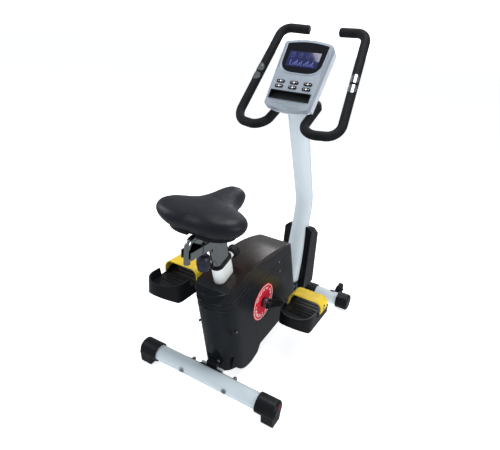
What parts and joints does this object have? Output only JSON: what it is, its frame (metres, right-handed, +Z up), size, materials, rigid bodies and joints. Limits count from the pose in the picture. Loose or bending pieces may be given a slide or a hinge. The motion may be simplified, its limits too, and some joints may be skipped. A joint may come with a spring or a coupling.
{
  "type": "exercise bike",
  "caption": "Upright magnetic exercise bike with strapped pedals, height and fore-aft adjustable saddle, tilting C-shaped handlebar and sloping console",
  "frame": {"origin": "centre of the bounding box in plan, on the floor", "axes": "+Z up, +X towards the handlebar and front stabiliser, +Y to the rider's left"},
  "size_m": [0.9975, 0.547, 1.1732],
  "materials": {
    "grey_blue_paint": "powder coat, semi-gloss",
    "white_paint": "powder coat, gloss",
    "black_paint": "powder coat",
    "black_plastic": "fine texture",
    "casing_plastic": "textured moulding",
    "gloss_black": "gloss",
    "console_grey": "satin paint",
    "console_white": "satin",
    "red_plastic": "gloss",
    "yellow_strap": "soft moulded",
    "foam": "open foam",
    "navy_vinyl": "soft sheen",
    "navy_plastic": "satin",
    "chrome": "polished",
    "zinc": "zinc plated",
    "crank_steel": "satin",
    "iron": "machined",
    "pulley": "moulded",
    "belt": "ribbed",
    "magnet": "nickel",
    "display": "liquid crystal",
    "wheel_rubber": "moulded",
    "bolt_steel": "zinc plated",
    "tube_steel": "machined"
  },
  "bodies": {
    "frame": {"rear_stabiliser": "grey_blue_paint", "front_stabiliser": "grey_blue_paint", "stabiliser_bolts": "bolt_steel", "front_end_caps": "black_plastic", "wheel_brackets": "black_paint", "main_frame": "black_paint", "seat_tube": "white_paint", "post_bushing": "black_plastic", "mast": "grey_blue_paint", "mast_boot": "gloss_black", "tower_cover": "black_plastic", "casing_left": "casing_plastic", "casing_right": "casing_plastic", "casing_top": "gloss_black", "badge_discs": "red_plastic", "casing_screws": "bolt_steel", "ball_bearings": "tube_steel", "flywheel_axle": "tube_steel", "brake_pin": "tube_steel", "tension_motor": "gloss_black", "drive_belt": "belt", "handlebar_clamp": "black_paint", "console_front": "console_grey", "console_back": "console_white", "console_window": "gloss_black", "display_board": "display", "console_tray": "black_plastic"},
    "foot_left": {"levelling_foot_left": "black_plastic"},
    "foot_right": {"levelling_foot_right": "black_plastic"},
    "wheel_left": {"transport_wheel_left": "wheel_rubber"},
    "wheel_right": {"transport_wheel_right": "wheel_rubber"},
    "height_knob_body": {"height_knob": "black_plastic"},
    "post": {"seat_post": "chrome"},
    "slider": {"saddle_slider": "chrome", "saddle_clamp": "zinc"},
    "slider_knob_body": {"slider_knob": "navy_plastic"},
    "saddle": {"saddle_base": "black_plastic", "saddle_pad": "navy_vinyl"},
    "crank": {"crank_axle": "tube_steel", "crank_arm_left": "crank_steel", "crank_arm_right": "crank_steel", "drive_pulley": "pulley", "pedal_axles": "tube_steel"},
    "pedal_left_body": {"pedal_left": "black_plastic", "pedal_strap_left": "yellow_strap"},
    "pedal_right_body": {"pedal_right": "black_plastic", "pedal_strap_right": "yellow_strap"},
    "flywheel_body": {"flywheel": "iron"},
    "brake": {"brake_arm": "zinc", "brake_magnets": "magnet"},
    "bar": {"handlebar": "black_paint", "foam_grip_left": "foam", "foam_grip_right": "foam", "pulse_plates": "chrome"},
    "button_1": {"console_button_1": "gloss_black"},
    "button_2": {"console_button_2": "gloss_black"},
    "button_3": {"console_button_3": "gloss_black"},
    "button_4": {"console_button_4": "gloss_black"},
    "button_5": {"console_button_5": "gloss_black"},
    "button_6": {"console_button_6": "gloss_black"}
  },
  "joints": [
    {"name": "seat_height", "type": "slide", "parent": "frame", "child": "post", "axis": [-0.3453, 0, 0.9385], "range_m": [-0.05, 0.12]},
    {"name": "height_knob_turn", "type": "hinge", "parent": "frame", "child": "height_knob_body", "pos_m": [-0.30537, 0, 0.45986], "axis": [0.9385, 0, 0.3453], "range_deg": [0, 360]},
    {"name": "saddle_slide", "type": "slide", "parent": "post", "child": "slider", "axis": [1, 0, 0], "range_m": [-0.04, 0.035]},
    {"name": "slider_knob_turn", "type": "hinge", "parent": "post", "child": "slider_knob_body", "pos_m": [-0.405, 0, 0.508], "axis": [0, 0, 1], "range_deg": [0, 360]},
    {"name": "saddle_tilt", "type": "hinge", "parent": "slider", "child": "saddle", "pos_m": [-0.368, 0, 0.612], "axis": [0, 1, 0], "range_deg": [-3, 8]},
    {"name": "crank_spin", "type": "hinge", "parent": "frame", "child": "crank", "pos_m": [-0.117, 0, 0.253], "axis": [0, 1, 0], "continuous": true},
    {"name": "pedal_left_spin", "type": "hinge", "parent": "crank", "child": "pedal_left_body", "pos_m": [-0.28273, 0.168, 0.33744], "axis": [0, 1, 0], "continuous": true},
    {"name": "pedal_right_spin", "type": "hinge", "parent": "crank", "child": "pedal_right_body", "pos_m": [0.04873, -0.168, 0.16856], "axis": [0, 1, 0], "continuous": true},
    {"name": "flywheel_spin", "type": "hinge", "parent": "frame", "child": "flywheel_body", "pos_m": [-0.172, 0.036, 0.131], "axis": [0, 1, 0], "continuous": true},
    {"name": "brake_swing", "type": "hinge", "parent": "frame", "child": "brake", "pos_m": [-0.08, 0.036, 0.074], "axis": [0, 1, 0], "range_deg": [0, 5]},
    {"name": "transport_wheel_left_spin", "type": "hinge", "parent": "frame", "child": "wheel_left", "pos_m": [0.472, 0.178, 0.064], "axis": [0, 1, 0], "continuous": true},
    {"name": "levelling_foot_left_turn", "type": "hinge", "parent": "frame", "child": "foot_left", "pos_m": [-0.352, 0.237, 0.053], "axis": [0, 1, 0], "range_deg": [-35, 35]},
    {"name": "transport_wheel_right_spin", "type": "hinge", "parent": "frame", "child": "wheel_right", "pos_m": [0.472, -0.178, 0.064], "axis": [0, 1, 0], "continuous": true},
    {"name": "levelling_foot_right_turn", "type": "hinge", "parent": "frame", "child": "foot_right", "pos_m": [-0.352, -0.237, 0.053], "axis": [0, 1, 0], "range_deg": [-35, 35]},
    {"name": "handlebar_tilt", "type": "hinge", "parent": "frame", "child": "bar", "pos_m": [0.178, 0, 0.923], "axis": [0, 1, 0], "range_deg": [-10, 0]},
    {"name": "button_1_press", "type": "slide", "parent": "frame", "child": "button_1", "axis": [0.8221, 0, -0.5693], "range_m": [0, 0.001], "stiffness_N_per_m": 400, "springref_m": -0.0006},
    {"name": "button_2_press", "type": "slide", "parent": "frame", "child": "button_2", "axis": [0.8221, 0, -0.5693], "range_m": [0, 0.001], "stiffness_N_per_m": 400, "springref_m": -0.0006},
    {"name": "button_3_press", "type": "slide", "parent": "frame", "child": "button_3", "axis": [0.8221, 0, -0.5693], "range_m": [0, 0.001], "stiffness_N_per_m": 400, "springref_m": -0.0006},
    {"name": "button_4_press", "type": "slide", "parent": "frame", "child": "button_4", "axis": [0.8221, 0, -0.5693], "range_m": [0, 0.001], "stiffness_N_per_m": 400, "springref_m": -0.0006},
    {"name": "button_5_press", "type": "slide", "parent": "frame", "child": "button_5", "axis": [0.8221, 0, -0.5693], "range_m": [0, 0.001], "stiffness_N_per_m": 400, "springref_m": -0.0006},
    {"name": "button_6_press", "type": "slide", "parent": "frame", "child": "button_6", "axis": [0.8221, 0, -0.5693], "range_m": [0, 0.001], "stiffness_N_per_m": 400, "springref_m": -0.0006}
  ],
  "couplings": [
    {"joint": "flywheel_spin", "follows": "crank_spin", "ratio": 4.4},
    {"joint": "pedal_left_spin", "follows": "crank_spin", "ratio": -1},
    {"joint": "pedal_right_spin", "follows": "crank_spin", "ratio": -1}
  ]
}
